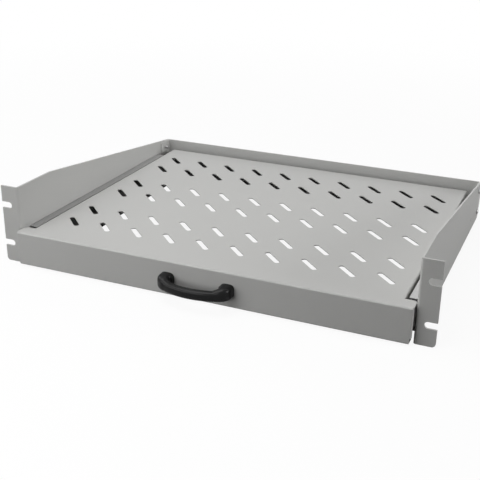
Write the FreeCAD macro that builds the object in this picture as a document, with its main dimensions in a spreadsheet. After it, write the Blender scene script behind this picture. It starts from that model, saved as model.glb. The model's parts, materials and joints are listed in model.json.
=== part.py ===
import FreeCAD, Part
import Sketcher
import math
import os
from FreeCAD import Placement, Rotation, Vector

# Pull-out shelf for a 19-inch rack, in millimetres.
# X runs to the right, Y to the back and Z up. The origin is at the middle of the ears' notches,
# on the ears' rear faces, where the shelf meets the rack posts.

doc = FreeCAD.newDocument("rack_shelf")
sheet = doc.addObject("Spreadsheet::Sheet", "sizes")


class Size:
    # A length that carries its number and the formula that gives it from the sheet.

    def __init__(self, formula, number):
        self.formula = formula
        self.number = number

    def __add__(self, other):
        other = as_size(other)
        return Size(f"({self.formula} + {other.formula})", self.number + other.number)

    def __sub__(self, other):
        other = as_size(other)
        return Size(f"({self.formula} - {other.formula})", self.number - other.number)

    def __mul__(self, other):
        other = as_size(other)
        return Size(f"({self.formula} * {other.formula})", self.number * other.number)

    def __truediv__(self, other):
        other = as_size(other)
        return Size(f"({self.formula} / {other.formula})", self.number / other.number)

    def __neg__(self):
        return Size(f"(-1 * {self.formula})", -self.number)


def as_size(value):
    if isinstance(value, Size):
        return value
    return Size(str(value), float(value))


def square(size):
    return size * size


def whole(size):
    return Size(f"floor({size.formula})", math.floor(size.number))


def sine(angle):
    return Size(f"sin({angle.formula} * 1 deg)", math.sin(math.radians(angle.number)))


def cosine(angle):
    return Size(f"cos({angle.formula} * 1 deg)", math.cos(math.radians(angle.number)))


def steepness(rise, run):
    return Size(f"atan2({rise.formula}; {run.formula})", math.degrees(math.atan2(rise.number, run.number)))


def cell(alias, number, note):
    # One row of the sheet: what it is, and the number that the alias names.
    cell.row += 1
    sheet.set(f"A{cell.row}", note)
    sheet.set(f"B{cell.row}", str(number))
    sheet.setAlias(f"B{cell.row}", alias)
    return Size(f"sizes.{alias}", float(number))


cell.row = 0
nothing = as_size(0)

# Rack interface
rack_width = cell("rack_width", 482.6, "width over the two ears")
rack_height = cell("rack_height", 88.1, "height of the ears, two rack units")
ear_width = cell("ear_width", 19.1, "ear's outer edge to the bracket's outer face")
notch_inset = cell("notch_inset", 8.75, "notch place from the ear's outer edge")
notch_apart = cell("notch_apart", 44.45, "notch places, up and down")
notch_height = cell("notch_height", 7.2, "clear height of a notch")

# Side brackets
bracket_sheet = cell("bracket_sheet", 2.0, "bracket sheet")
bracket_bend = cell("bracket_bend", 1.0, "inner radius of the ear's bend")
bracket_depth = cell("bracket_depth", 351.0, "ear's rear face to the bracket's rear end")
level_length = cell("level_length", 60.0, "level part of the bracket's top edge")
rear_height = cell("rear_height", 51.0, "top of the bracket's rear end above the ear's foot")
bracket_foot = cell("bracket_foot", 4.3, "bracket plate's lower edge above the ear's foot")
toe_length = cell("toe_length", 12.0, "plate's toe, which reaches down to the ear's foot")
rear_corner = cell("rear_corner", 8.0, "radius of the bracket's lower rear corner")
ear_corner = cell("ear_corner", 4.0, "radius of the ear's lower outer corner")

# Rear rail
rail_sheet = cell("rail_sheet", 1.5, "rear rail sheet")
rail_bend = cell("rail_bend", 1.0, "inner radius of the rail's bends")
rail_flange = cell("rail_flange", 26.0, "length of the rail's end flanges")
rail_screw_inset = cell("rail_screw_inset", 15.0, "rail screws before the bracket's rear end")
rail_screw_rise = cell("rail_screw_rise", 12.2, "lower rail screw above the bracket's lower edge")
rail_screw_drop = cell("rail_screw_drop", 7.3, "upper rail screw below the bracket's rear top")

# Tray
deck_height = cell("deck_height", 40.1, "top of the deck above the ear's foot")
rear_gap = cell("rear_gap", 8.5, "deck's rear edge to the rear rail")
tray_sheet = cell("tray_sheet", 1.0, "tray sheet")
tray_bend = cell("tray_bend", 0.8, "inner radius of the tray's bends")
panel_reach = cell("panel_reach", 8.5, "panel's front face before the ear's front face")
panel_foot = cell("panel_foot", 2.2, "panel's lower edge above the ear's foot")
panel_gap = cell("panel_gap", 0.7, "panel's end to the bracket's inner face")
strip_depth = cell("strip_depth", 17.5, "deck's full-width front strip, front to back")
strip_corner = cell("strip_corner", 4.0, "radius of the strip's rear corners")
end_return = cell("end_return", 4.6, "depth of the panel's folded ends")
foot_return = cell("foot_return", 12.0, "depth of the panel's folded foot")
corner_relief = cell("corner_relief", 6.0, "open corner between folded end and folded foot")
skirt_foot = cell("skirt_foot", 4.8, "skirts' lower edge above the ear's foot")
skirt_return = cell("skirt_return", 17.0, "width of the skirts' folded lower edge")
return_gap = cell("return_gap", 0.6, "between the folded edges where they meet at a corner")

# Deck slots
slot_length = cell("slot_length", 28.4, "slot, tip to tip")
slot_width = cell("slot_width", 6.2, "slot width")
slot_angle = cell("slot_angle", 45.0, "slant of the slots, degrees")
column_pitch = cell("column_pitch", 40.0, "slots, side to side")
row_pitch = cell("row_pitch", 40.0, "the two rows of a pair")
pair_pitch = cell("pair_pitch", 105.4, "pairs of rows, front to back")
first_row = cell("first_row", 53.8, "panel's front face to the first row")
slot_side_margin = cell("slot_side_margin", 26.0, "least room beside the slots")
slot_rear_margin = cell("slot_rear_margin", 40.0, "least room behind the slots")

# Slides
slide_thickness = cell("slide_thickness", 12.7, "bracket's inner face to the tray's skirt")
slide_height = cell("slide_height", 34.0, "height of the outer channel")
slide_lift = cell("slide_lift", 0.2, "slide's lower edge above the bracket's lower edge")
slide_front_gap = cell("slide_front_gap", 7.5, "deck's front strip to the slide's front end")
slide_rear_gap = cell("slide_rear_gap", 10.5, "slide's rear end to the rail's flange")
channel_sheet = cell("channel_sheet", 1.0, "sheet of the slide's channels")
channel_bend = cell("channel_bend", 0.4, "inner radius of the channels' bends")
middle_setback = cell("middle_setback", 3.0, "outer channel's back to the middle channel's back")
outer_lip_gap = cell("outer_lip_gap", 2.3, "outer channel's lips to the tray's skirt")
middle_lip_gap = cell("middle_lip_gap", 1.9, "middle channel's lips to the inner channel's web")
inner_lip_gap = cell("inner_lip_gap", 2.3, "inner channel's lips to the middle channel's web")
ball_size = cell("ball_size", 3.5, "ball diameter")
ball_play = cell("ball_play", 0.05, "room between a ball and its raceway")
raceway_depth = cell("raceway_depth", 0.35, "depth of a raceway in its flange")
ball_pitch = cell("ball_pitch", 26.0, "balls along a cage")
cage_length = cell("cage_length", 130.0, "length of a ball cage")
cage_sheet = cell("cage_sheet", 0.6, "sheet of a cage")
cage_gap = cell("cage_gap", 0.3, "cage's back to the channel inside it")
cage_edge = cell("cage_edge", 0.85, "cage's edge beside its pockets")
pocket_play = cell("pocket_play", 0.1, "room round a ball in its pocket")
stop_length = cell("stop_length", 9.0, "length of the buffer")
stop_height = cell("stop_height", 14.0, "height of the buffer")
stop_gap = cell("stop_gap", 0.3, "running channels' rear ends to the buffer")
stop_inset = cell("stop_inset", 0.7, "buffer's rear end to the outer channel's rear end")
stop_round = cell("stop_round", 0.8, "rounding of the buffer's front edges")

# Handle
handle_drop = cell("handle_drop", 2.0, "handle's centre line below the panel's middle")
handle_pitch = cell("handle_pitch", 66.2, "handle's feet, centre to centre")
handle_reach = cell("handle_reach", 19.0, "panel's front face to the middle of the grip")
bar_size = cell("bar_size", 9.8, "diameter of the handle's bar")
shoulder_radius = cell("shoulder_radius", 8.2, "radius between grip and foot")
foot_size = cell("foot_size", 18.0, "diameter of a foot on the panel")
foot_flare = cell("foot_flare", 5.6, "length over which a foot flares")

# Screws
screw_size = cell("screw_size", 4.0, "shank diameter")
screw_play = cell("screw_play", 0.05, "room round a shank")
head_size = cell("head_size", 7.0, "head diameter")
flat_head = cell("flat_head", 0.9, "height of a flat head")
pan_head = cell("pan_head", 2.2, "height of a pan head")
rail_screw_length = cell("rail_screw_length", 8.0, "rail screw's shank")
handle_screw_length = cell("handle_screw_length", 8.0, "handle screw's shank")
screw_tip = cell("screw_tip", 1.2, "tray slide screws past the skirt")
outer_screw_front = cell("outer_screw_front", 35.0, "slide's front end to the outer channel's first screw")
outer_screw_rear = cell("outer_screw_rear", 23.0, "outer channel's last screw to its rear end")
inner_screw_inset = cell("inner_screw_inset", 30.0, "inner channel's screws from its ends")

doc.recompute()

# Places worked out from the sheet
ear_foot = -rack_height / 2
ear_top = rack_height / 2
ear_end = rack_width / 2
plate_outer = ear_end - ear_width
plate_inner = plate_outer - bracket_sheet
plate_foot = ear_foot + bracket_foot
plate_rear_top = ear_foot + rear_height
deck_top = ear_foot + deck_height
deck_under = deck_top - tray_sheet
deck_side = plate_inner - slide_thickness
panel_front = -bracket_sheet - panel_reach
panel_back = panel_front + tray_sheet
panel_low = ear_foot + panel_foot
panel_end = plate_inner - panel_gap
strip_back = panel_front + strip_depth
deck_back = bracket_depth - rail_sheet - rear_gap
skirt_low = ear_foot + skirt_foot
handle_level = (panel_low + deck_top) / 2 - handle_drop
slide_level = plate_foot + slide_lift + slide_height / 2
slide_front = strip_back + slide_front_gap
slide_length = bracket_depth - rail_flange - slide_rear_gap - slide_front
running_length = slide_length - stop_inset - stop_length - stop_gap
tray_outer_bend = tray_bend + tray_sheet
shank_radius = screw_size / 2
hole_radius = shank_radius + screw_play

# The slide's section, from the bracket's inner face and up from the slide's centre line
groove_radius = ball_size / 2 + ball_play
groove_sink = groove_radius - raceway_depth
outer_flange_under = slide_height / 2 - channel_sheet
outer_ball_height = outer_flange_under - groove_sink
middle_top = outer_ball_height - groove_sink
middle_flange_under = middle_top - channel_sheet
inner_ball_height = middle_flange_under - groove_sink
inner_top = inner_ball_height - groove_sink
middle_face = middle_setback + channel_sheet
outer_lip = slide_thickness - outer_lip_gap
middle_lip = slide_thickness - channel_sheet - middle_lip_gap
inner_lip = middle_face + inner_lip_gap
outer_ball_line = (middle_face + outer_lip) / 2
inner_ball_line = (inner_lip + middle_lip) / 2
cage_front = (running_length - cage_length) / 2
channel_outer_bend = channel_bend + channel_sheet


def bind(thing, name, size):
    thing.setExpression(name, size.formula)


def new_body(label):
    body = doc.addObject("PartDesign::Body", label)
    body.Label = label
    return body


def origin_feature(body, role):
    return [f for f in body.Origin.OriginFeatures if f.Role == role][0]


def new_sketch(body, name, plane, level):
    # A sketch parallel to an origin plane, at a level along the axis that the plane leaves out.
    sketch = body.newObject("Sketcher::SketchObject", name)
    sketch.AttachmentSupport = [(origin_feature(body, f"{plane}_Plane"), "")]
    sketch.MapMode = "FlatFace"
    faces_back = plane == "XZ"
    bind(sketch, "AttachmentOffset.Base.z", -level if faces_back else level)
    return sketch


def fix_point(sketch, geometry, position, place):
    # Ties a point of the sketch to its place.
    for kind, size in zip(("DistanceX", "DistanceY"), place):
        index = sketch.addConstraint(Sketcher.Constraint(kind, geometry, position, size.number))
        bind(sketch, f"Constraints[{index}]", size)


def fix_radius(sketch, geometry, size):
    index = sketch.addConstraint(Sketcher.Constraint("Radius", geometry, size.number))
    bind(sketch, f"Constraints[{index}]", size)


def flat(place):
    return Vector(place[0].number, place[1].number, 0)


def corner_arc(before, corner, after, radius):
    # The arc that rounds a corner, whether it turns left, and where it leaves the two sides.
    back = (before - corner).normalize()
    ahead = (after - corner).normalize()
    half = back.getAngle(ahead) / 2
    reach = radius / math.tan(half)
    leave = corner + back * reach
    join = corner + ahead * reach
    centre = corner + (back + ahead).normalize() * (radius / math.sin(half))
    left = back.cross(ahead).z < 0
    first, last = (leave, join) if left else (join, leave)
    start = math.atan2(first.y - centre.y, first.x - centre.x)
    end = math.atan2(last.y - centre.y, last.x - centre.x)
    arc = Part.ArcOfCircle(Part.Circle(centre, Vector(0, 0, 1), radius), start, end)
    return arc, left, leave, join


def outline(sketch, corners):
    # A closed outline of straight sides. A corner with a third value is rounded by that radius.
    count = len(corners)
    places = [flat(corner) for corner in corners]
    starts = list(places)
    ends = list(places)
    arcs = {}
    for i, corner in enumerate(corners):
        if len(corner) == 3:
            sides = places[i - 1], places[i], places[(i + 1) % count]
            arc, left, ends[i], starts[i] = corner_arc(*sides, corner[2].number)
            arcs[i] = (arc, left)
    lines = []
    for i in range(count):
        side = Part.LineSegment(starts[i], ends[(i + 1) % count])
        lines.append(sketch.addGeometry(side))
    for i, corner in enumerate(corners):
        before = lines[i - 1]
        after = lines[i]
        if i not in arcs:
            sketch.addConstraint(Sketcher.Constraint("Coincident", before, 2, after, 1))
            fix_point(sketch, after, 1, corner)
            continue
        arc, left = arcs[i]
        bend = sketch.addGeometry(arc)
        leave, join = (1, 2) if left else (2, 1)
        sketch.addConstraint(Sketcher.Constraint("Tangent", before, 2, bend, leave))
        sketch.addConstraint(Sketcher.Constraint("Tangent", bend, join, after, 1))
        fix_radius(sketch, bend, corner[2])
        point = sketch.addGeometry(Part.Point(places[i]), True)
        sketch.addConstraint(Sketcher.Constraint("PointOnObject", point, 1, before))
        sketch.addConstraint(Sketcher.Constraint("PointOnObject", point, 1, after))
        fix_point(sketch, point, 1, corner)


def rectangle(sketch, low, high, radius=None):
    corners = [(low[0], low[1]), (high[0], low[1]), (high[0], high[1]), (low[0], high[1])]
    if radius:
        corners = [corner + (radius,) for corner in corners]
    outline(sketch, corners)


def circle(sketch, place, radius):
    ring = Part.Circle(flat(place), Vector(0, 0, 1), radius.number)
    index = sketch.addGeometry(ring)
    fix_point(sketch, index, 3, place)
    fix_radius(sketch, index, radius)


def slot(sketch, first, last, width):
    # A slot with round ends, from one end's centre to the other's.
    start = flat(first)
    end = flat(last)
    along = (end - start).normalize()
    aside = Vector(-along.y, along.x, 0) * (width.number / 2)
    axis = Vector(0, 0, 1)
    radius = width.number / 2
    turn = math.atan2(aside.y, aside.x)
    half_turn = turn + math.pi
    full_turn = half_turn + math.pi
    head = sketch.addGeometry(Part.ArcOfCircle(Part.Circle(start, axis, radius), turn, half_turn))
    tail = sketch.addGeometry(Part.ArcOfCircle(Part.Circle(end, axis, radius), half_turn, full_turn))
    near = sketch.addGeometry(Part.LineSegment(start - aside, end - aside))
    far = sketch.addGeometry(Part.LineSegment(end + aside, start + aside))
    sketch.addConstraint(Sketcher.Constraint("Tangent", head, 2, near, 1))
    sketch.addConstraint(Sketcher.Constraint("Tangent", near, 2, tail, 1))
    sketch.addConstraint(Sketcher.Constraint("Tangent", tail, 2, far, 1))
    sketch.addConstraint(Sketcher.Constraint("Tangent", far, 2, head, 1))
    fix_point(sketch, head, 3, first)
    fix_point(sketch, tail, 3, last)
    fix_radius(sketch, head, width / 2)
    sketch.addConstraint(Sketcher.Constraint("Equal", head, tail))


def extrude(body, name, plane, low, high, draw):
    # Adds material from one level to a higher one along the axis that the plane leaves out.
    sketch = new_sketch(body, f"{name}_sketch", plane, low)
    draw(sketch)
    feature = body.newObject("PartDesign::Pad", name)
    feature.Profile = sketch
    feature.Reversed = plane == "XZ"
    bind(feature, "Length", high - low)
    doc.recompute()
    return feature


def cut(body, name, plane, low, high, draw):
    # Takes material away from one level to a higher one, and makes sure that some went.
    before = body.Shape.Volume
    sketch = new_sketch(body, f"{name}_sketch", plane, low)
    draw(sketch)
    feature = body.newObject("PartDesign::Pocket", name)
    feature.Profile = sketch
    feature.Reversed = plane != "XZ"
    bind(feature, "Length", high - low)
    doc.recompute()
    if body.Shape.Volume > before - 0.01:
        raise RuntimeError(f"{name} cuts nothing from {body.Label}")
    return feature


def mirrored(size, side):
    return size * side


def ordered(one, other):
    # The lower of two levels, then the higher.
    if one.number < other.number:
        return one, other
    return other, one


def outer_screw_lines():
    front = slide_front + outer_screw_front
    rear = slide_front + slide_length - outer_screw_rear
    return front, rear


def inner_screw_lines():
    front = slide_front + inner_screw_inset
    rear = slide_front + running_length - inner_screw_inset
    return front, rear


def handle_screw_places():
    return (-handle_pitch / 2, handle_level), (handle_pitch / 2, handle_level)


def rail_screw_places():
    line = bracket_depth - rail_screw_inset
    return (line, plate_foot + rail_screw_rise), (line, plate_rear_top - rail_screw_drop)


def round_upright(body, name, x, y, radius):
    # Rounds the upright edge that stands at x and y.
    names = []
    below = body.Tip
    for number, edge in enumerate(below.Shape.Edges, 1):
        ends = [vertex.Point for vertex in edge.Vertexes]
        if len(ends) == 2 and all(abs(p.x - x.number) + abs(p.y - y.number) < 0.001 for p in ends):
            names.append(f"Edge{number}")
    feature = body.newObject("PartDesign::Fillet", name)
    feature.Base = (below, names)
    bind(feature, "Radius", radius)
    body.Tip = feature
    doc.recompute()


def side_bracket(label, side):
    # A plate along the tray's side, its front edge folded outwards into the notched rack ear.
    body = new_body(label)
    low, high = ordered(mirrored(plate_inner, side), mirrored(plate_outer, side))
    outer_bend = bracket_bend + bracket_sheet

    def plate(sketch):
        outline(sketch, [
            (-bracket_sheet, ear_foot),
            (toe_length, ear_foot),
            (toe_length + bracket_foot, plate_foot),
            (bracket_depth, plate_foot, rear_corner),
            (bracket_depth, plate_rear_top),
            (level_length, ear_top),
            (-bracket_sheet, ear_top),
        ])

    def ear(sketch):
        outline(sketch, [
            (mirrored(plate_inner, side), ear_foot),
            (mirrored(ear_end, side), ear_foot, ear_corner),
            (mirrored(ear_end, side), ear_top),
            (mirrored(plate_inner, side), ear_top),
        ])

    def notches(sketch):
        centre = mirrored(ear_end - notch_inset, side)
        beyond = mirrored(ear_end + notch_height, side)
        slot(sketch, (centre, notch_apart / 2), (beyond, notch_apart / 2), notch_height)
        slot(sketch, (centre, -notch_apart / 2), (beyond, -notch_apart / 2), notch_height)

    def holes(sketch):
        for place in rail_screw_places():
            circle(sketch, place, hole_radius)
        for line in outer_screw_lines():
            circle(sketch, (line, slide_level), hole_radius)

    extrude(body, "plate", "YZ", low, high, plate)
    extrude(body, "ear", "XZ", -bracket_sheet, nothing, ear)
    cut(body, "notches", "XZ", -bracket_sheet, nothing, notches)
    cut(body, "holes", "YZ", low, high, holes)
    round_upright(body, "ear_inner_bend", mirrored(plate_outer, side), nothing, bracket_bend)
    round_upright(body, "ear_outer_bend", mirrored(plate_inner, side), -bracket_sheet, outer_bend)
    return body


def rear_rail(label):
    # A cross rail with its ends folded forwards against the brackets.
    body = new_body(label)
    front = bracket_depth - rail_flange
    face = bracket_depth - rail_sheet
    end = plate_inner - rail_sheet
    outside = rail_bend + rail_sheet

    def section(sketch):
        outline(sketch, [
            (-plate_inner, front),
            (-end, front),
            (-end, face, rail_bend),
            (end, face, rail_bend),
            (end, front),
            (plate_inner, front),
            (plate_inner, bracket_depth, outside),
            (-plate_inner, bracket_depth, outside),
        ])

    def holes(sketch):
        for place in rail_screw_places():
            circle(sketch, place, hole_radius)

    extrude(body, "section", "XY", plate_foot, plate_rear_top, section)
    cut(body, "left_holes", "YZ", -plate_inner, -end, holes)
    cut(body, "right_holes", "YZ", end, plate_inner, holes)
    return body


def tray(label):
    # One folded sheet: slotted deck, skirts with folded edges, and the front panel with its returns.
    body = new_body(label)
    skirt_inside = deck_side - tray_sheet
    return_edge = deck_side - skirt_return
    skirt_inner_low = skirt_low + tray_sheet
    rear_inside = deck_back - tray_sheet

    def deck_section(sketch):
        outline(sketch, [
            (-return_edge, skirt_low),
            (-return_edge, skirt_inner_low),
            (-skirt_inside, skirt_inner_low, tray_bend),
            (-skirt_inside, deck_under, tray_bend),
            (skirt_inside, deck_under, tray_bend),
            (skirt_inside, skirt_inner_low, tray_bend),
            (return_edge, skirt_inner_low),
            (return_edge, skirt_low),
            (deck_side, skirt_low, tray_outer_bend),
            (deck_side, deck_top, tray_outer_bend),
            (-deck_side, deck_top, tray_outer_bend),
            (-deck_side, skirt_low, tray_outer_bend),
        ])

    def panel_section(sketch):
        foot_end = panel_front + foot_return
        head_end = panel_front + tray_outer_bend * 2
        outline(sketch, [
            (head_end, deck_under),
            (head_end, deck_top),
            (panel_front, deck_top, tray_outer_bend),
            (panel_front, panel_low, tray_outer_bend),
            (foot_end, panel_low),
            (foot_end, panel_low + tray_sheet),
            (panel_back, panel_low + tray_sheet, tray_bend),
            (panel_back, deck_under, tray_bend),
        ])

    def ends_section(sketch):
        end_inside = panel_end - tray_sheet
        end_back = panel_front + end_return
        outline(sketch, [
            (-panel_end, end_back),
            (-panel_end, panel_front, tray_outer_bend),
            (panel_end, panel_front, tray_outer_bend),
            (panel_end, end_back),
            (end_inside, end_back),
            (end_inside, panel_back, tray_bend),
            (-end_inside, panel_back, tray_bend),
            (-end_inside, end_back),
        ])

    def strip(sketch):
        strip_front = panel_front + tray_outer_bend
        outline(sketch, [
            (-panel_end, strip_front),
            (panel_end, strip_front),
            (panel_end, strip_back, strip_corner),
            (-panel_end, strip_back, strip_corner),
        ])

    def rear_wall(sketch):
        outline(sketch, [
            (deck_back - tray_outer_bend * 2, deck_under),
            (rear_inside, deck_under, tray_bend),
            (rear_inside, skirt_low + tray_outer_bend),
            (deck_back, skirt_low + tray_outer_bend),
            (deck_back, deck_top, tray_outer_bend),
            (deck_back - tray_outer_bend * 2, deck_top),
        ])

    def rear_return(sketch):
        outline(sketch, [
            (deck_back - skirt_return, skirt_low),
            (deck_back, skirt_low, tray_outer_bend),
            (deck_back, skirt_low + tray_outer_bend * 2),
            (rear_inside, skirt_low + tray_outer_bend * 2),
            (rear_inside, skirt_inner_low, tray_bend),
            (deck_back - skirt_return, skirt_inner_low),
        ])

    def slot_pair(sketch):
        half = (slot_length - slot_width) / 2
        across = half * cosine(slot_angle)
        along = half * sine(slot_angle)
        left_column = -column_pitch * (slot_columns - 1) / 2
        for row in (panel_front + first_row, panel_front + first_row + row_pitch):
            slot(sketch, (left_column - across, row + along), (left_column + across, row - along), slot_width)

    def skirt_holes(sketch):
        for line in inner_screw_lines():
            circle(sketch, (line, slide_level), hole_radius)

    def handle_holes(sketch):
        for place in handle_screw_places():
            circle(sketch, place, hole_radius)

    slot_columns = whole((deck_side - slot_side_margin) * 2 / column_pitch) + 1
    pair_room = deck_back - panel_front - first_row - row_pitch - slot_rear_margin
    slot_pairs = whole(pair_room / pair_pitch) + 1
    folded_end = panel_end - tray_outer_bend
    rear_fold = skirt_inside - tray_bend
    return_end = return_edge - return_gap
    extrude(body, "deck_section", "XZ", strip_back, deck_back - tray_outer_bend, deck_section)
    extrude(body, "panel_section", "YZ", -folded_end, folded_end, panel_section)
    extrude(body, "ends_section", "XY", panel_low + corner_relief, deck_top - tray_outer_bend, ends_section)
    extrude(body, "strip", "XY", deck_under, deck_top, strip)
    extrude(body, "rear_wall", "YZ", -rear_fold, rear_fold, rear_wall)
    extrude(body, "rear_return", "YZ", -return_end, return_end, rear_return)
    cut(body, "left_skirt_holes", "YZ", -deck_side, -skirt_inside, skirt_holes)
    cut(body, "right_skirt_holes", "YZ", skirt_inside, deck_side, skirt_holes)
    cut(body, "handle_holes", "XZ", panel_front, panel_back, handle_holes)
    pair = cut(body, "slot_pair", "XY", deck_under, deck_top, slot_pair)
    pattern = body.newObject("PartDesign::LinearPattern", "slots")
    pattern.Originals = [pair]
    pattern.Direction = (origin_feature(body, "X_Axis"), [""])
    pattern.Mode = "Spacing"
    bind(pattern, "Offset", column_pitch)
    bind(pattern, "Occurrences", slot_columns)
    pattern.Direction2 = (origin_feature(body, "Y_Axis"), [""])
    pattern.Mode2 = "Extent"
    bind(pattern, "Length2", pair_pitch * (slot_pairs - 1))
    bind(pattern, "Occurrences2", slot_pairs)
    body.Tip = pattern
    doc.recompute()
    return body


def handle(label):
    # A bow handle: a round bar bent through grip and shoulders, on two flared feet.
    body = new_body(label)
    leg = handle_pitch / 2
    bar_radius = bar_size / 2
    neck = panel_front - foot_flare
    shoulder_x = leg - shoulder_radius
    # The bow touches both shoulders from outside and passes through the middle of the grip.
    rise = handle_reach - foot_flare
    bow_span = square(shoulder_x) + square(rise) - square(shoulder_radius)
    bow_radius = bow_span / (rise - shoulder_radius) / 2
    bow_depth = bow_radius - rise
    full_turn = as_size(360)

    def turned(name, sketch, start, end, angle):
        # Turns a section about the line from start to end.
        axis = sketch.addGeometry(Part.LineSegment(flat(start), flat(end)), True)
        fix_point(sketch, axis, 1, start)
        fix_point(sketch, axis, 2, end)
        feature = body.newObject("PartDesign::Revolution", name)
        feature.Profile = sketch
        feature.ReferenceAxis = (sketch, ["Axis0"])
        bind(feature, "Angle", angle)
        return feature

    def bend(name, plane, level, centre, pivot, angle):
        # Turns the bar about an upright line.
        sketch = new_sketch(body, f"{name}_section", plane, level)
        circle(sketch, (centre, handle_level), bar_radius)
        return turned(name, sketch, (pivot, handle_level - bar_size), (pivot, handle_level + bar_size), angle)

    middle = panel_front - handle_reach
    grip = bend("grip", "YZ", nothing, middle, middle + bow_radius, steepness(shoulder_x, bow_depth) * 2)
    grip.Midplane = True
    doc.recompute()
    for name, side in (("left", -1), ("right", 1)):
        centre = mirrored(leg, side)
        pivot = mirrored(shoulder_x, side)
        shoulder = bend(f"{name}_shoulder", "XZ", neck, centre, pivot, steepness(bow_depth, shoulder_x))
        shoulder.Reversed = side > 0
        doc.recompute()
        section = new_sketch(body, f"{name}_foot_section", "XY", handle_level)
        outline(section, [
            (centre, neck),
            (centre + mirrored(bar_radius, side), neck),
            (centre + mirrored(foot_size / 2, side), panel_front),
            (centre, panel_front),
        ])
        turned(f"{name}_foot", section, (centre, neck), (centre, panel_front), full_turn)
        doc.recompute()

    def bores(sketch):
        for place in handle_screw_places():
            circle(sketch, place, hole_radius)

    bore_depth = handle_screw_length - tray_sheet + screw_play
    cut(body, "screw_bores", "XZ", panel_front - bore_depth, panel_front, bores)
    return body


def seat_slide(body, side):
    # Puts a piece of a slide, drawn from the bracket's inner face, on the left or the right.
    # The right slide is the same piece turned over about its length.
    turn = 0 if side < 0 else 180
    body.Placement = Placement(Vector(0, 0, 0), Rotation(Vector(0, 1, 0), turn))
    bind(body, "Placement.Base.x", mirrored(plate_inner, side))
    bind(body, "Placement.Base.y", slide_front)
    bind(body, "Placement.Base.z", slide_level)
    doc.recompute()


def channel(body, back, lip, half_height, length):
    # A channel with its back at one distance from the bracket and its lips at another.
    toward = 1 if lip.number > back.number else -1
    inside = back + channel_sheet * toward
    under = half_height - channel_sheet

    def section(sketch):
        outline(sketch, [
            (back, -half_height, channel_outer_bend),
            (lip, -half_height),
            (lip, -under),
            (inside, -under, channel_bend),
            (inside, under, channel_bend),
            (lip, under),
            (lip, half_height),
            (back, half_height, channel_outer_bend),
        ])

    extrude(body, "section", "XZ", nothing, length, section)


def raceways(body, name, line, height, length):
    # Round grooves for the balls along the upper and the lower flange.
    def grooves(sketch):
        circle(sketch, (line, height), groove_radius)
        circle(sketch, (line, -height), groove_radius)

    cut(body, name, "XZ", nothing, length, grooves)


def web_holes(body, low, high, lines):
    def holes(sketch):
        for line in lines:
            circle(sketch, (line - slide_front, nothing), hole_radius)

    cut(body, "web_holes", "YZ", low, high, holes)


def slide_outer(label, side):
    body = new_body(label)
    channel(body, nothing, outer_lip, slide_height / 2, slide_length)
    raceways(body, "raceways", outer_ball_line, outer_ball_height, slide_length)
    web_holes(body, nothing, channel_sheet, outer_screw_lines())
    seat_slide(body, side)
    return body


def slide_middle(label, side):
    body = new_body(label)
    channel(body, middle_setback, middle_lip, middle_top, running_length)
    raceways(body, "outer_raceways", outer_ball_line, outer_ball_height, running_length)
    raceways(body, "inner_raceways", inner_ball_line, inner_ball_height, running_length)
    seat_slide(body, side)
    return body


def slide_inner(label, side):
    body = new_body(label)
    channel(body, slide_thickness, inner_lip, inner_top, running_length)
    raceways(body, "raceways", inner_ball_line, inner_ball_height, running_length)
    web_holes(body, slide_thickness - channel_sheet, slide_thickness, inner_screw_lines())
    seat_slide(body, side)
    return body


def ball_places():
    # Balls along a cage, from the slide's front end, evenly about the cage's middle.
    count = int(whole((cage_length - ball_size * 2) / ball_pitch).number) + 1
    first = cage_front + (cage_length - ball_pitch * (count - 1)) / 2
    return [first + ball_pitch * i for i in range(count)]


def ball_cage(label, side, back, line, height):
    # A thin folded strip round the channel inside it, with a pocket for each ball in both flanges.
    body = new_body(label)
    half_height = height + cage_sheet / 2
    under = height - cage_sheet / 2
    inside = back + cage_sheet
    pocket = ball_size / 2 + pocket_play
    lip = line + pocket + cage_edge

    def section(sketch):
        outline(sketch, [
            (back, -half_height),
            (lip, -half_height),
            (lip, -under),
            (inside, -under),
            (inside, under),
            (lip, under),
            (lip, half_height),
            (back, half_height),
        ])

    def pockets(sketch):
        for place in ball_places():
            rectangle(sketch, (line - pocket, place - pocket), (line + pocket, place + pocket))

    extrude(body, "section", "XZ", cage_front, cage_front + cage_length, section)
    cut(body, "pockets", "XY", -half_height, half_height, pockets)
    seat_slide(body, side)
    return body


def slide_stop(label, side):
    # A buffer block behind the running channels, held to the outer channel's back.
    body = new_body(label)
    front = running_length + stop_gap
    half_height = stop_height / 2
    depth = slide_thickness - channel_sheet

    def block(sketch):
        outline(sketch, [
            (channel_sheet, front, stop_round),
            (depth, front, stop_round),
            (depth, front + stop_length),
            (channel_sheet, front + stop_length),
        ])

    extrude(body, "block", "XY", -half_height, half_height, block)
    seat_slide(body, side)
    return body


def screws(body, name, plane, seat, way, places, head, length):
    # Screws with their heads on a face, and their shanks running up (1) or down (-1) from it.
    def heads(sketch):
        for place in places:
            circle(sketch, place, head_size / 2)

    def shanks(sketch):
        for place in places:
            circle(sketch, place, shank_radius)

    extrude(body, f"{name}_heads", plane, *ordered(seat, seat - head * way), heads)
    extrude(body, f"{name}_shanks", plane, *ordered(seat, seat + length * way), shanks)


def rail_screws(label):
    body = new_body(label)
    places = rail_screw_places()
    screws(body, "left", "YZ", -plate_outer, 1, places, pan_head, rail_screw_length)
    screws(body, "right", "YZ", plate_outer, -1, places, pan_head, rail_screw_length)
    return body


def bracket_slide_screws(label):
    body = new_body(label)
    places = [(line, slide_level) for line in outer_screw_lines()]
    face = plate_inner - channel_sheet
    length = channel_sheet + bracket_sheet
    screws(body, "left", "YZ", -face, -1, places, flat_head, length)
    screws(body, "right", "YZ", face, 1, places, flat_head, length)
    return body


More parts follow.
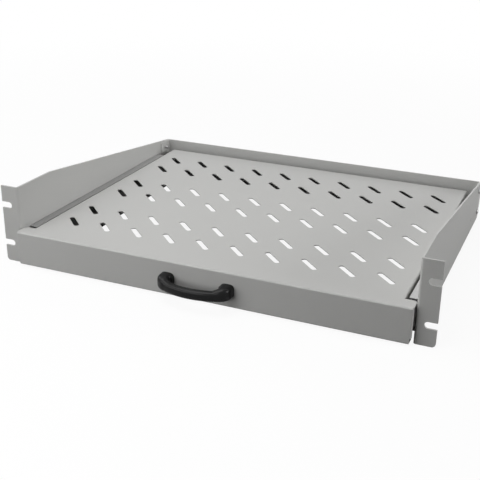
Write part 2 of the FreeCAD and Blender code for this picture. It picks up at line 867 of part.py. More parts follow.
def tray_slide_screws(label):
    body = new_body(label)
    places = [(line, slide_level) for line in inner_screw_lines()]
    face = deck_side + channel_sheet
    length = channel_sheet + tray_sheet + screw_tip
    screws(body, "left", "YZ", -face, 1, places, flat_head, length)
    screws(body, "right", "YZ", face, -1, places, flat_head, length)
    return body


def handle_screws(label):
    body = new_body(label)
    screws(body, "panel", "XZ", panel_back, -1, handle_screw_places(), pan_head, handle_screw_length)
    return body


def steel_ball(label):
    # A ball with flat facets: a cube cut back by the same cube turned by an eighth about each axis.
    width = ball_size * cosine(as_size(22.5))
    cubes = []
    for i, axis in enumerate((None, Vector(1, 0, 0), Vector(0, 1, 0), Vector(0, 0, 1))):
        cube = doc.addObject("Part::Box", f"{label}_cube_{i}")
        for name in ("Length", "Width", "Height"):
            bind(cube, name, width)
        centre = Vector(1, 1, 1) * (width.number / 2)
        turn = Rotation(axis, 45) if axis else Rotation()
        cube.Placement = Placement(-centre, turn, centre)
        cubes.append(cube)
    ball = doc.addObject("Part::MultiCommon", label)
    ball.Shapes = cubes
    doc.recompute()
    return ball


def ball_set(label, side, line, height):
    # Copies of the ball in a cage's pockets, each a solid of its own, in one node.
    across = mirrored(plate_inner - line, side)
    balls = []
    for along in ball_places():
        for level in (slide_level - height, slide_level + height):
            place = Vector(across.number, (slide_front + along).number, level.number)
            balls.append(ball.Shape.translated(place))
    node = doc.addObject("Part::Feature", label)
    node.Label = label
    node.Shape = Part.makeCompound([copy.Solids[0] for copy in balls])
    return node


nodes = [
    side_bracket("left_side_bracket", -1),
    side_bracket("right_side_bracket", 1),
    rear_rail("rear_rail"),
    rail_screws("rear_rail_screws"),
    tray("tray"),
    handle("handle"),
    handle_screws("handle_screws"),
    bracket_slide_screws("bracket_slide_screws"),
    tray_slide_screws("tray_slide_screws"),
]
ball = steel_ball("steel_ball")
outer_cage_back = middle_setback - cage_gap - cage_sheet
inner_cage_back = middle_face + cage_gap
for side, name in ((-1, "left"), (1, "right")):
    nodes += [
        slide_outer(f"{name}_slide_outer", side),
        slide_middle(f"{name}_slide_middle", side),
        slide_inner(f"{name}_slide_inner", side),
        ball_cage(f"{name}_outer_cage", side, outer_cage_back, outer_ball_line, outer_ball_height),
        ball_cage(f"{name}_inner_cage", side, inner_cage_back, inner_ball_line, inner_ball_height),
        ball_set(f"{name}_outer_balls", side, outer_ball_line, outer_ball_height),
        ball_set(f"{name}_inner_balls", side, inner_ball_line, inner_ball_height),
        slide_stop(f"{name}_slide_stop", side),
    ]

doc.recompute()
for thing in doc.Objects:
    if "Invalid" in thing.State or "Error" in thing.State:
        raise RuntimeError(f"{thing.Label} failed: {thing.State}")
for node in nodes:
    if node.Shape.isNull() or not node.Shape.isValid():
        raise RuntimeError(f"{node.Label} has no valid shape")

os.makedirs("parts", exist_ok=True)
for node in nodes:
    node.Shape.exportStep(os.path.join("parts", f"{node.Label}.step"))
    print(f"{node.Label}: {len(node.Shape.Solids)} solids, {node.Shape.Volume / 1000:.2f} cm3")
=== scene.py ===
import json
import math

import bpy
import numpy as np
from mathutils import Matrix, Vector

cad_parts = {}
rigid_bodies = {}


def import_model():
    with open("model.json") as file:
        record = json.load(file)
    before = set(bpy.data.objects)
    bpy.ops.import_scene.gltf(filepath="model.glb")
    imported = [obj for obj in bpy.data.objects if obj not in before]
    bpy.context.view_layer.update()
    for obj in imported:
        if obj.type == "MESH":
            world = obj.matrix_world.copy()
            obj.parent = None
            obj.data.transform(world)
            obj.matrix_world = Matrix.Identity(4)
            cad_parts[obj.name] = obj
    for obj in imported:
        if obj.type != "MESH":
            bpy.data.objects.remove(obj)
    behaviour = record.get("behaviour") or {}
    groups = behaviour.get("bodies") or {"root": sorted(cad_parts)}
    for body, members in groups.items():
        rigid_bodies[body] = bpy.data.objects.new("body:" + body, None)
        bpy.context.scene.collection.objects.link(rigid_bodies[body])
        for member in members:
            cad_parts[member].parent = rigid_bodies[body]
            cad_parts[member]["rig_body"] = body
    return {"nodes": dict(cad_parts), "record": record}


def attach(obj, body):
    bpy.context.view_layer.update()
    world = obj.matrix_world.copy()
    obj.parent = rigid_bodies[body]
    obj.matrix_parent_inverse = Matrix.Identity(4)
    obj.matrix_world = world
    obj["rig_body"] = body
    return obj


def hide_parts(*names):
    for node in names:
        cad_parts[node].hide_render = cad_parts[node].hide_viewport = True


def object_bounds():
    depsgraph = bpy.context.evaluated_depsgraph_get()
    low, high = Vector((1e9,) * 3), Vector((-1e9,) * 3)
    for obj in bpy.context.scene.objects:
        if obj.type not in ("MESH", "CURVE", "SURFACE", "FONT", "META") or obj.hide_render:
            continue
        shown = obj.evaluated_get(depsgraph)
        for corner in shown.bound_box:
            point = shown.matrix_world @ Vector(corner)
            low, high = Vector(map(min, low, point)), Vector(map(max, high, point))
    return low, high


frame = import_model()
cadLow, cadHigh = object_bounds()
nodes = frame["nodes"]
scene = bpy.context.scene


# finishes

colourSocket, valueSocket = "NodeSocketColor", "NodeSocketFloat"
finishOutputs = (("Colour", colourSocket), ("Roughness", valueSocket), ("Height", valueSocket))
plainGrey = (0.5, 0.5, 0.5, 1)  # until a finish gives its own colours
noiseMiddle = 0.5  # mean level of a noise texture


def newGroup(name, inputs):
    # inputs are (name, socket type, default); every finish group gives a colour, a roughness and a height
    tree = bpy.data.node_groups.new(name, "ShaderNodeTree")
    for label, kind, value in inputs:
        socket = tree.interface.new_socket(name=label, in_out="INPUT", socket_type=kind)
        socket.default_value = value
    for label, kind in finishOutputs:
        tree.interface.new_socket(name=label, in_out="OUTPUT", socket_type=kind)
    return tree, tree.nodes.new("NodeGroupInput"), tree.nodes.new("NodeGroupOutput")


def addNode(tree, kind, values=None, **settings):
    node = tree.nodes.new(kind)
    for key, value in settings.items():
        setattr(node, key, value)
    for key, value in (values or {}).items():
        node.inputs[key].default_value = value
    return node


def addMath(tree, operation, first, second):
    # each of the two values is a number or another node's output
    node = addNode(tree, "ShaderNodeMath", operation=operation)
    for i, value in enumerate((first, second)):
        if isinstance(value, (int, float)):
            node.inputs[i].default_value = value
        else:
            tree.links.new(value, node.inputs[i])
    return node.outputs[0]


def addMix(tree, factor, first, second):
    # a Mix node takes its two colours at sockets 6 and 7 and gives their mix at socket 2
    node = addNode(tree, "ShaderNodeMix", data_type="RGBA")
    tree.links.new(factor, node.inputs["Factor"])
    tree.links.new(first, node.inputs[6])
    tree.links.new(second, node.inputs[7])
    return node.outputs[2]


def addGloss(tree, given, noise):
    # roughness = its middle value + (noise - noise's mean) * drift
    swing = addMath(tree, "SUBTRACT", noise.outputs["Fac"], noiseMiddle)
    swing = addMath(tree, "MULTIPLY", swing, given.outputs["Roughness Drift"])
    return addMath(tree, "ADD", given.outputs["Roughness"], swing)


coatNoise = {
    "peel": {"Detail": 2.0, "Roughness": 0.55},
    "drift": {"Detail": 4.0, "Roughness": 0.6},
    "speck": {"Detail": 1.0},
    "speckScale": 2.6,  # how much finer the specks are than the peel
    "speckHeight": 0.35,  # and how high they stand against it
}


def makeCoatGroup(spec):
    # sprayed coat: two sizes of noise raise a fine peel, slow noise drifts the colour and the gloss
    tree, given, out = newGroup(
        "sprayedCoat",
        (
            ("Colour", colourSocket, plainGrey),
            ("Drift Colour", colourSocket, plainGrey),
            ("Peel Scale", valueSocket, 700.0),
            ("Drift Scale", valueSocket, 6.0),
            ("Roughness", valueSocket, 0.4),
            ("Roughness Drift", valueSocket, 0.1),
        ),
    )
    place = addNode(tree, "ShaderNodeTexCoord").outputs["Object"]
    noises = [addNode(tree, "ShaderNodeTexNoise", spec[key]) for key in ("peel", "drift", "speck")]
    for noise in noises:
        tree.links.new(place, noise.inputs["Vector"])
    peel, drift, speck = noises
    fine = addMath(tree, "MULTIPLY", given.outputs["Peel Scale"], spec["speckScale"])
    tree.links.new(given.outputs["Peel Scale"], peel.inputs["Scale"])
    tree.links.new(given.outputs["Drift Scale"], drift.inputs["Scale"])
    tree.links.new(fine, speck.inputs["Scale"])
    colour = addMix(tree, drift.outputs["Fac"], given.outputs["Colour"], given.outputs["Drift Colour"])
    height = addMath(tree, "MULTIPLY", speck.outputs["Fac"], spec["speckHeight"])
    height = addMath(tree, "ADD", peel.outputs["Fac"], height)
    tree.links.new(colour, out.inputs["Colour"])
    tree.links.new(addGloss(tree, given, drift), out.inputs["Roughness"])
    tree.links.new(height, out.inputs["Height"])
    return tree


sheetNoise = {
    "streak": {"Detail": 3.0, "Roughness": 0.6},
    "cloud": {"Detail": 3.0, "Roughness": 0.5},
    "drawn": (1.0, 0.03, 1.0),  # stretches the streaks along y, the rolling direction
}


def makeMetalGroup(spec):
    # plated sheet: noise drawn out along the rolling direction streaks the gloss, and coarser noise clouds
    # the colour
    tree, given, out = newGroup(
        "platedSheet",
        (
            ("Colour", colourSocket, plainGrey),
            ("Cloud Colour", colourSocket, plainGrey),
            ("Streak Scale", valueSocket, 900.0),
            ("Cloud Scale", valueSocket, 120.0),
            ("Roughness", valueSocket, 0.35),
            ("Roughness Drift", valueSocket, 0.2),
        ),
    )
    place = addNode(tree, "ShaderNodeTexCoord").outputs["Object"]
    drawn = addNode(tree, "ShaderNodeMapping", {"Scale": spec["drawn"]})
    streak, cloud = (addNode(tree, "ShaderNodeTexNoise", spec[key]) for key in ("streak", "cloud"))
    tree.links.new(place, drawn.inputs["Vector"])
    tree.links.new(drawn.outputs["Vector"], streak.inputs["Vector"])
    tree.links.new(place, cloud.inputs["Vector"])
    tree.links.new(given.outputs["Streak Scale"], streak.inputs["Scale"])
    tree.links.new(given.outputs["Cloud Scale"], cloud.inputs["Scale"])
    colour = addMix(tree, cloud.outputs["Fac"], given.outputs["Colour"], given.outputs["Cloud Colour"])
    tree.links.new(colour, out.inputs["Colour"])
    tree.links.new(addGloss(tree, given, streak), out.inputs["Roughness"])
    tree.links.new(streak.outputs["Fac"], out.inputs["Height"])
    return tree


coatGroup = makeCoatGroup(coatNoise)
metalGroup = makeMetalGroup(sheetNoise)


def makeFinish(name, group, inputs, bump, sockets):
    # one Principled surface whose colour, gloss and relief come from a group
    material = bpy.data.materials.new(name)
    material.use_nodes = True
    tree = material.node_tree
    surface = tree.nodes["Principled BSDF"]
    for key, value in sockets.items():
        surface.inputs[key].default_value = value
    effect = addNode(tree, "ShaderNodeGroup")
    effect.node_tree = group
    for key, value in inputs.items():
        effect.inputs[key].default_value = value
    relief = addNode(tree, "ShaderNodeBump", bump)
    tree.links.new(effect.outputs["Colour"], surface.inputs["Base Color"])
    tree.links.new(effect.outputs["Roughness"], surface.inputs["Roughness"])
    tree.links.new(effect.outputs["Height"], relief.inputs["Height"])
    tree.links.new(relief.outputs["Normal"], surface.inputs["Normal"])
    return material


greyPaint = makeFinish(
    "greyPaint",
    coatGroup,
    {
        "Colour": (0.500, 0.500, 0.489, 1),
        "Drift Colour": (0.535, 0.535, 0.523, 1),
        "Peel Scale": 650.0,
        "Drift Scale": 7.0,
        "Roughness": 0.50,
        "Roughness Drift": 0.12,
    },
    {"Strength": 0.30, "Distance": 0.0004},
    {"Specular IOR Level": 0.14},
)
blackPlastic = makeFinish(
    "blackPlastic",
    coatGroup,
    {
        "Colour": (0.0040, 0.0040, 0.0042, 1),
        "Drift Colour": (0.0070, 0.0070, 0.0072, 1),
        "Peel Scale": 1500.0,
        "Drift Scale": 30.0,
        "Roughness": 0.24,
        "Roughness Drift": 0.12,
    },
    {"Strength": 0.10, "Distance": 0.0003},
    {"Specular IOR Level": 0.18},
)
zincSteel = makeFinish(
    "zincSteel",
    metalGroup,
    {
        "Colour": (0.34, 0.34, 0.338, 1),
        "Cloud Colour": (0.44, 0.44, 0.437, 1),
        "Roughness": 0.42,
        "Roughness Drift": 0.22,
    },
    {"Strength": 0.06, "Distance": 0.0002},
    {"Metallic": 0.6},
)
ballSteel = makeFinish(
    "ballSteel",
    metalGroup,
    {
        "Colour": (0.74, 0.74, 0.75, 1),
        "Cloud Colour": (0.78, 0.78, 0.79, 1),
        "Roughness": 0.12,
        "Roughness Drift": 0.05,
    },
    {"Strength": 0.02, "Distance": 0.0001},
    {"Metallic": 1.0},
)

finishOf = {
    "grey_paint": greyPaint,
    "black_plastic": blackPlastic,
    "zinc_steel": zincSteel,
    "ball_steel": ballSteel,
}
slotOf = {subpart["node"]: subpart["material_slot"] for subpart in frame["record"]["subparts"]}
for name, slot in slotOf.items():
    nodes[name].data.materials.clear()
    nodes[name].data.materials.append(finishOf[slot])
print("finishes:", ", ".join(finishOf))


# pieces worked out on grids

sides = (("left", -1), ("right", 1))  # with the sign of x on each
fullTurn, quarterTurn = 2 * math.pi, math.pi / 2


def gridFaces(rows, columns):
    # quads of a grid whose rows close round, each row joined to the next
    index = np.arange(rows * columns).reshape(rows, columns)
    beside = np.roll(index, -1, axis=1)
    return np.stack((index[:-1], beside[:-1], beside[1:], index[1:]), axis=-1).reshape(-1, 4)


def fanFaces(ring, pole, flip=False):
    # triangles from a closed ring of points to one pole
    pair = (ring, np.roll(ring, -1))
    return np.stack((*(pair[::-1] if flip else pair), np.full(len(ring), pole)), axis=-1).tolist()


def repeatFaces(faces, size, count):
    # the same faces for each of several copies of a set of points
    return [[index + i * size for index in face] for i in range(count) for face in faces]


def addPiece(name, points, faces, node, flat=0, replace=True):
    # one mesh with a CAD node's finish, on that node's body, in its place or added to it
    mesh = bpy.data.meshes.new(name)
    mesh.from_pydata(points.tolist(), [], faces)
    smooth = np.arange(len(faces)) < len(faces) - flat  # the last faces may stay flat
    mesh.polygons.foreach_set("use_smooth", smooth)
    mesh.materials.append(nodes[node].data.materials[0])
    piece = bpy.data.objects.new(name, mesh)
    scene.collection.objects.link(piece)
    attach(piece, nodes[node]["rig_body"])
    if replace:
        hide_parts(node)


bowHandle = {
    "pitch": 0.0684,  # feet, centre to centre
    "reach": 0.01945,  # panel to the middle of the grip
    "panel": -0.0105,  # y of the panel's face
    "level": -0.0249,  # z of the grip
    "leg": 0.0055,  # straight end of each foot
    "shoulder": 0.0086,  # radius of the tight arcs
    "grip": (0.0044, 0.0051),  # half depth, half height
    "foot": (0.0068, 0.0084, 0.0071),  # to the outside, to the inside, half height
    "swell": 0.004,  # how far before a shoulder the bar starts to widen
    "flare": (-0.007, 0.005),  # where it grows taller, from the start of a shoulder
    "lift": 0.0018,  # how much higher the feet are than the grip
    "squareness": (3.2, 3.4),  # of the section, at the grip and at the feet
    "rows": 161,
    "columns": 64,
}


def addHandle(spec):
    # Centre line by arc length s from the middle: a wide arc, then on each side a tight arc that turns until
    # it meets the panel squarely, then a straight leg. The section is a superellipse, x = w cos^(2/n) and
    # z = h sin^(2/n). Width, height, level and n go from the grip's to the foot's by the smooth step
    # 3u^2 - 2u^3.
    shoulder, leg = spec["shoulder"], spec["leg"]
    across, rise = spec["pitch"] / 2 - shoulder, spec["reach"] - leg
    bow = (across ** 2 + rise ** 2 - shoulder ** 2) / (rise - shoulder) / 2
    lean = math.atan2(across, bow - rise)
    bowHalf = bow * lean
    turnEnd = bowHalf + shoulder * (quarterTurn - lean)
    half = turnEnd + leg
    s = np.linspace(-half, half, spec["rows"])
    far = np.abs(s)
    onBow = far < bowHalf
    heading = np.where(onBow, far / bow, np.minimum(lean + (far - bowHalf) / shoulder, quarterTurn))
    radius = np.where(onBow, bow, shoulder)
    neck = spec["panel"] - leg
    x = np.where(onBow, 0.0, across) + radius * np.sin(heading)
    y = neck + np.where(onBow, bow - rise, 0.0) - radius * np.cos(heading) + np.maximum(far - turnEnd, 0.0)
    side = np.where(s < 0, -1.0, 1.0)

    def grow(start, end, first, last):
        u = np.clip((far - start) / (end - start), 0.0, 1.0)
        return (first + (last - first) * u * u * (3 - 2 * u))[:, None]

    gripDeep, gripTall = spec["grip"]
    footOut, footIn, footTall = spec["foot"]
    flareStart, flareEnd = (bowHalf + offset for offset in spec["flare"])
    deepOut = grow(bowHalf - spec["swell"], turnEnd, gripDeep, footOut)
    deepIn = grow(bowHalf, turnEnd, gripDeep, footIn)
    tall = grow(flareStart, flareEnd, gripTall, footTall)
    level = spec["level"] + grow(flareStart, flareEnd, 0.0, spec["lift"])
    around = np.linspace(0, fullTurn, spec["columns"], endpoint=False)
    power = 2 / grow(bowHalf, half, *spec["squareness"])
    outward = np.sign(np.cos(around)) * np.abs(np.cos(around)) ** power
    upward = np.sign(np.sin(around)) * np.abs(np.sin(around)) ** power
    offset = np.where(outward > 0, deepOut, deepIn) * outward
    points = np.empty((spec["rows"], spec["columns"], 3))
    points[..., 0] = (side * x)[:, None] + (side * np.sin(heading))[:, None] * offset
    points[..., 1] = y[:, None] - np.cos(heading)[:, None] * offset
    points[..., 2] = level + tall * upward
    faces = gridFaces(spec["rows"], spec["columns"])[:, ::-1].tolist()
    last = (spec["rows"] - 1) * spec["columns"]
    ends = [list(range(spec["columns"])), list(range(last, last + spec["columns"]))[::-1]]
    addPiece("bowHandle", points.reshape(-1, 3), faces + ends, "handle", flat=len(ends))


panHead = {"radius": 0.0035, "height": 0.0022, "recess": 0.0012, "shank": 0.0080}
bracketHead = {"radius": 0.0035, "height": 0.0009, "recess": 0.0006, "shank": 0.0030}
trayHead = {"radius": 0.0035, "height": 0.0009, "recess": 0.0006, "shank": 0.0032}
screwSpec = {
    "thread": 0.0020,  # outer radius of the thread
    "threadDepth": 0.00035,
    "threadPitch": 0.0007,
    "arm": (0.00045, 0.0019),  # half width and reach of the cross recess
    "soft": 0.0003,  # how gently the recess and the tip fall away
    "eye": 0.02,  # where the head's first ring lies, from its middle at 0 to its edge at 1
    "spread": 0.9,  # how the rings spread towards the edge
    "dome": (4, 0.75),  # power of the head's curve, and how much of its height it loses at the edge
    "spin": (17, 41),  # degrees that the first screw is turned, and each next one further
    "rings": 16,
    "columns": 36,
    "perPitch": 6,
}
toLeft, toRight, toBack = (-1, 0, 0), (1, 0, 0), (0, 1, 0)
screwSets = {
    "railScrews": {
        "node": "rear_rail_screws",
        "head": panHead,
        "x": 0.2222,
        "y": (0.336,),
        "z": (-0.02755, -0.00035),
        "facing": (toLeft, toRight),  # where the heads point, on the left and on the right
    },
    "bracketScrews": {
        "node": "bracket_slide_screws",
        "head": bracketHead,
        "x": 0.2192,
        "y": (0.0495, 0.2915),
        "z": (-0.02255,),
        "facing": (toRight, toLeft),
    },
    "trayScrews": {
        "node": "tray_slide_screws",
        "head": trayHead,
        "x": 0.2085,
        "y": (0.0445, 0.2745),
        "z": (-0.02255,),
        "facing": (toLeft, toRight),
    },
    "handleScrews": {
        "node": "handle_screws",
        "head": panHead,
        "x": 0.0331,
        "y": (-0.0095,),
        "z": (-0.0249,),
        "facing": (toBack, toBack),
    },
}


def screwGrid(head, spec):
    # A turned profile: domed head, seat, threaded shank and tip. On the head a smooth cross is pressed in.
    # On the shank the radius falls by a triangle wave of (height / pitch + angle / full turn), which makes
    # a helix.
    around = np.linspace(0, fullTurn, spec["columns"], endpoint=False)
    out = np.linspace(spec["eye"], 1.0, spec["rings"])
    domePower, domeDrop = spec["dome"]
    topRadius = head["radius"] * np.sin(out * quarterTurn) ** spec["spread"]
    topHeight = head["height"] * (1 - (topRadius / head["radius"]) ** domePower * domeDrop)
    seatRadius = np.array([head["radius"], spec["thread"]])
    count = int(head["shank"] / spec["threadPitch"] * spec["perPitch"]) + 1
    down = np.linspace(0, -head["shank"], count)
    radius = np.concatenate((topRadius, seatRadius, np.full(count, spec["thread"])))
    height = np.concatenate((topHeight, np.zeros(len(seatRadius)), down))
    row = np.arange(len(height))[:, None]
    isHead, isShank = row < len(out), row >= len(out) + len(seatRadius)
    wave = np.abs((height[:, None] / spec["threadPitch"] + around / fullTurn) % 1.0 - 0.5) * 2
    taper = np.clip((height + head["shank"]) / (spec["soft"] * 2), 0, 1)[:, None]
    radius = radius[:, None] - isShank * (wave * spec["threadDepth"] + (1 - taper) * spec["threadDepth"])
    x, y = radius * np.cos(around), radius * np.sin(around)
    armWidth, armReach = spec["arm"]

    def arm(wide, long):
        inWidth = np.clip((armWidth + spec["soft"] / 2 - np.abs(wide)) / spec["soft"], 0, 1)
        return inWidth * np.clip((armReach - np.abs(long)) / spec["soft"], 0, 1)

    z = height[:, None] - np.maximum(arm(x, y), arm(y, x)) * head["recess"] * isHead
    grid = np.stack((x, y, z), axis=-1).reshape(-1, 3)
    poles = np.array([[0, 0, head["height"] - head["recess"]], [0, 0, -head["shank"]]])
    ring = np.arange(spec["columns"])
    last = len(grid) - spec["columns"]
    faces = gridFaces(*x.shape)[:, ::-1].tolist()
    faces += fanFaces(ring, len(grid))
    faces += fanFaces(last + ring, len(grid) + 1, flip=True)
    return np.concatenate((grid, poles)), faces


def addScrews(name, place, spec):
    # each screw is the same grid, turned to its axis and a little further round than the one before
    local, faces = screwGrid(place["head"], spec)
    upright = np.array((0, 0, 1.0))
    firstSpin, nextSpin = spec["spin"]
    seats = []
    for sign, out in zip((-1, 1), place["facing"]):
        seats += [((sign * place["x"], y, z), out) for y in place["y"] for z in place["z"]]
    points = []
    for i, (seat, out) in enumerate(seats):
        spin = math.radians(firstSpin + nextSpin * i)
        first = np.cross(out, upright) * math.cos(spin) + upright * math.sin(spin)
        turn = np.stack((first, np.cross(out, first), out))
        points.append(local @ turn + np.array(seat))
    addPiece(name, np.concatenate(points), repeatFaces(faces, len(local), len(seats)), place["node"])


ballSpec = {
    "radius": 0.00175,
    "rows": 9,
    "columns": 18,
    "first": 0.1075,  # y of the front ball
    "pitch": 0.026,
    "count": 5,
    "outer": (0.2130, -0.0371, -0.0080),  # x, and z of the lower and the upper row
    "inner": (0.21215, -0.0332, -0.0119),
}


def addBalls(side, sign, cage, spec):
    # spheres by latitude and longitude, with a point at each pole
    latitude = np.linspace(-quarterTurn, quarterTurn, spec["rows"] + 2)[1:-1]
    around = np.linspace(0, fullTurn, spec["columns"], endpoint=False)
    ball = np.empty((spec["rows"], spec["columns"], 3))
    ball[..., 0] = np.cos(latitude)[:, None] * np.cos(around)
    ball[..., 1] = np.cos(latitude)[:, None] * np.sin(around)
    ball[..., 2] = np.sin(latitude)[:, None]
    poles = np.array([[0, 0, -1.0], [0, 0, 1.0]])
    ball = np.concatenate((ball.reshape(-1, 3), poles)) * spec["radius"]
    ring = np.arange(spec["columns"])
    grid = spec["rows"] * spec["columns"]
    faces = gridFaces(spec["rows"], spec["columns"]).tolist()
    faces += fanFaces(ring, grid, flip=True)
    faces += fanFaces(grid - spec["columns"] + ring, grid + 1)
    along = spec["first"] + spec["pitch"] * np.arange(spec["count"])
    x, *levels = spec[cage]
    centres = np.array([(sign * x, y, z) for z in levels for y in along])
    points = (centres[:, None, :] + ball).reshape(-1, 3)
    allFaces = repeatFaces(faces, len(ball), len(centres))
    addPiece(f"{side}{cage.title()}Balls", points, allFaces, f"{side}_{cage}_balls")


panelCorner = {
    "middle": (0.2177, -0.0087, -0.00575),  # of the right corner
    "radius": 0.0018,
    "steps": 8,
}


def addCorners(spec):
    # An eighth of a ball closes each top corner of the panel, where its folds meet: x = cos v cos u,
    # y = -cos v sin u, z = sin v, with u and v from 0 to a right angle, and three flat sides to the middle.
    steps = spec["steps"]
    quarter = np.linspace(0, quarterTurn, steps + 1)
    u, v = np.meshgrid(quarter, quarter[:-1])
    shell = np.stack((np.cos(v) * np.cos(u), -np.cos(v) * np.sin(u), np.sin(v)), axis=-1).reshape(-1, 3)
    ball = np.concatenate((shell, [[0, 0, 1.0], [0, 0, 0]])) * spec["radius"]
    index = np.arange(len(shell)).reshape(steps, steps + 1)
    pole, middle = len(shell), len(shell) + 1
    quads = np.stack((index[:-1, :-1], index[1:, :-1], index[1:, 1:], index[:-1, 1:]), axis=-1).reshape(-1, 4)
    cap = np.stack((index[-1, :-1], np.full(steps, pole), index[-1, 1:]), axis=-1)
    flats = [
        [middle, *index[0].tolist()],
        [middle, pole, *index[::-1, 0].tolist()],
        [middle, *index[:, -1].tolist(), pole],
    ]
    faces = quads.tolist() + cap.tolist() + flats
    for side, sign in sides:
        points = (ball + spec["middle"]) * (sign, 1, 1)
        turned = [face[::sign] for face in faces]
        addPiece(f"{side}PanelCorner", points, turned, "tray", flat=len(flats), replace=False)


addHandle(bowHandle)
addCorners(panelCorner)
for name, place in screwSets.items():
    addScrews(name, place, screwSpec)
for side, sign in sides:
    for cage in ("outer", "inner"):
        addBalls(side, sign, cage, ballSpec)
print("pieces: handle, panel corners, screws and balls")


# stage, light and camera

white = (1, 1, 1, 1)
floorSpec = {
    "half": 6.0,  # half the width
    "level": cadLow.z,
    "middle": (0.0, 0.10),  # the fade spreads from here
    "whiteness": (0.92, 1.0),  # share of plain white near the object and far from it
    "fade": (0.45, 1.6),  # where the share starts and stops to grow
    "shade": 0.10,  # grey for the light that it throws back
    "pale": 0.9,  # what the camera and reflections see under the white
}


def addSeen(tree, path):
    # 1 for rays from the camera, from a reflection or through glass, and 0 for others
    seen = addMath(tree, "MAXIMUM", path.outputs["Is Camera Ray"], path.outputs["Is Glossy Ray"])
    return addMath(tree, "MAXIMUM", seen, path.outputs["Is Transmission Ray"])


def addFloor(spec):
    # a flat square under the object: nearly white to the camera, with the object's shadow near it, pale in
    # reflections, a quiet grey for the light that it throws back, and clear from underneath
    half, level = spec["half"], spec["level"]
    corners = [(-half, -half, level), (half, -half, level), (half, half, level), (-half, half, level)]
    mesh = bpy.data.meshes.new("floor")
    mesh.from_pydata(corners, [], [(0, 1, 2, 3)])
    floor = bpy.data.objects.new("floor", mesh)
    scene.collection.objects.link(floor)
    material = bpy.data.materials.new("paleFloor")
    material.use_nodes = True
    tree = material.node_tree
    tree.nodes.clear()
    matt = addNode(tree, "ShaderNodeBsdfDiffuse")
    glow = addNode(tree, "ShaderNodeEmission", {"Color": white, "Strength": 1.0})
    clear = addNode(tree, "ShaderNodeBsdfTransparent")
    path = addNode(tree, "ShaderNodeLightPath")
    tone = addMath(tree, "MULTIPLY", addSeen(tree, path), spec["pale"] - spec["shade"])
    tree.links.new(addMath(tree, "ADD", tone, spec["shade"]), matt.inputs["Color"])
    away = addNode(tree, "ShaderNodeVectorMath", operation="DISTANCE")
    away.inputs[1].default_value = (*spec["middle"], level)
    tree.links.new(addNode(tree, "ShaderNodeTexCoord").outputs["Object"], away.inputs[0])
    fade = addNode(tree, "ShaderNodeMapRange", interpolation_type="SMOOTHSTEP")
    for i, value in enumerate((*spec["fade"], *spec["whiteness"]), start=1):
        fade.inputs[i].default_value = value
    tree.links.new(away.outputs["Value"], fade.inputs["Value"])
    share = addMath(tree, "MULTIPLY", path.outputs["Is Camera Ray"], fade.outputs["Result"])
    below = addNode(tree, "ShaderNodeNewGeometry").outputs["Backfacing"]
    below = addMath(tree, "MULTIPLY", path.outputs["Is Camera Ray"], below)
    surface = matt.outputs["BSDF"]
    for factor, shader in ((share, glow), (below, clear)):
        mix = addNode(tree, "ShaderNodeMixShader")
        tree.links.new(factor, mix.inputs["Fac"])
        tree.links.new(surface, mix.inputs[1])
        tree.links.new(shader.outputs[0], mix.inputs[2])
        surface = mix.outputs["Shader"]
    tree.links.new(surface, addNode(tree, "ShaderNodeOutputMaterial").inputs["Surface"])
    mesh.materials.append(material)


studioAmbient = 0.025  # light from all round


def setWorld(ambient):
    # white to the camera and in reflections, a plain grey level for the light it gives
    world = bpy.data.worlds.new("studio")
    scene.world = world
    world.use_nodes = True
    tree = world.node_tree
    tree.nodes.clear()
    seen = addSeen(tree, addNode(tree, "ShaderNodeLightPath"))
    level = addMath(tree, "MULTIPLY", seen, 1.0 - ambient)
    level = addMath(tree, "ADD", level, ambient)
    sky = addNode(tree, "ShaderNodeBackground", {"Color": white})
    tree.links.new(level, sky.inputs["Strength"])
    tree.links.new(sky.outputs["Background"], addNode(tree, "ShaderNodeOutputWorld").inputs["Surface"])


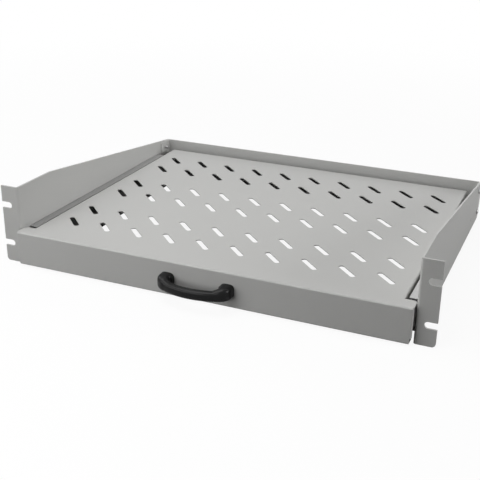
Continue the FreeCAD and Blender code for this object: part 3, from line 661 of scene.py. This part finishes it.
softboxes = {
    "topBox": {"size": (1.8, 1.8), "watts": 27.4, "place": (-0.50, -0.35, 1.6), "aim": (0, 0.10, 0)},
    "frontBox": {"size": (0.9, 0.34), "watts": 2.3, "place": (-0.38, -0.64, 0.16), "aim": (-0.1, 0.0, 0)},
    "rightBox": {"size": (2.0, 1.2), "watts": 80.0, "place": (4.2, 0.50, 1.0), "aim": (0.0, 0.15, 0)},
    "leftBox": {"size": (1.6, 1.6), "watts": 14.0, "place": (-2.4, 0.9, 1.0), "aim": (0.0, 0.15, 0)},
    "backBox": {"size": (1.6, 1.0), "watts": 14.0, "place": (0.6, 2.6, 1.0), "aim": (0.0, 0.15, 0)},
}


def addSoftbox(name, spec):
    # a large area lamp that faces its aim
    lamp = bpy.data.lights.new(name, "AREA")
    lamp.shape = "RECTANGLE"
    lamp.size, lamp.size_y = spec["size"]
    lamp.energy = spec["watts"]
    box = bpy.data.objects.new(name, lamp)
    scene.collection.objects.link(box)
    box.location = spec["place"]
    gaze = Vector(spec["aim"]) - Vector(spec["place"])
    box.rotation_euler = gaze.to_track_quat("-Z", "Y").to_euler()


shot = {
    "azimuth": 23.02,  # degrees, to the right of the front
    "elevation": 22.72,
    "roll": 0.78,
    "focal": 65.30,  # millimetres, as the sensor's width
    "sensor": 36.0,
    "near": 0.01,  # nothing closer is drawn
    "place": (0.3501, -0.7251, 0.35875),
}


def addCamera(spec):
    # stands where the photograph was taken from, tilted by its small roll
    around, above, roll = (math.radians(spec[key]) for key in ("azimuth", "elevation", "roll"))
    back = Vector((math.sin(around) * math.cos(above), -math.cos(around) * math.cos(above), math.sin(above)))
    right = Vector((0, 0, 1)).cross(back).normalized()
    level = Matrix((right, back.cross(right), back)).transposed()
    lens = bpy.data.cameras.new("shot")
    lens.lens = spec["focal"]
    lens.sensor_width = spec["sensor"]
    lens.clip_start = spec["near"]
    camera = bpy.data.objects.new("shot", lens)
    scene.collection.objects.link(camera)
    tilted = level @ Matrix.Rotation(roll, 3, "Z")
    camera.matrix_world = Matrix.Translation(spec["place"]) @ tilted.to_4x4()
    scene.camera = camera


addFloor(floorSpec)
setWorld(studioAmbient)
for name, spec in softboxes.items():
    addSoftbox(name, spec)
addCamera(shot)
scene.view_settings.view_transform = "Standard"
print("stage:", ", ".join(softboxes))
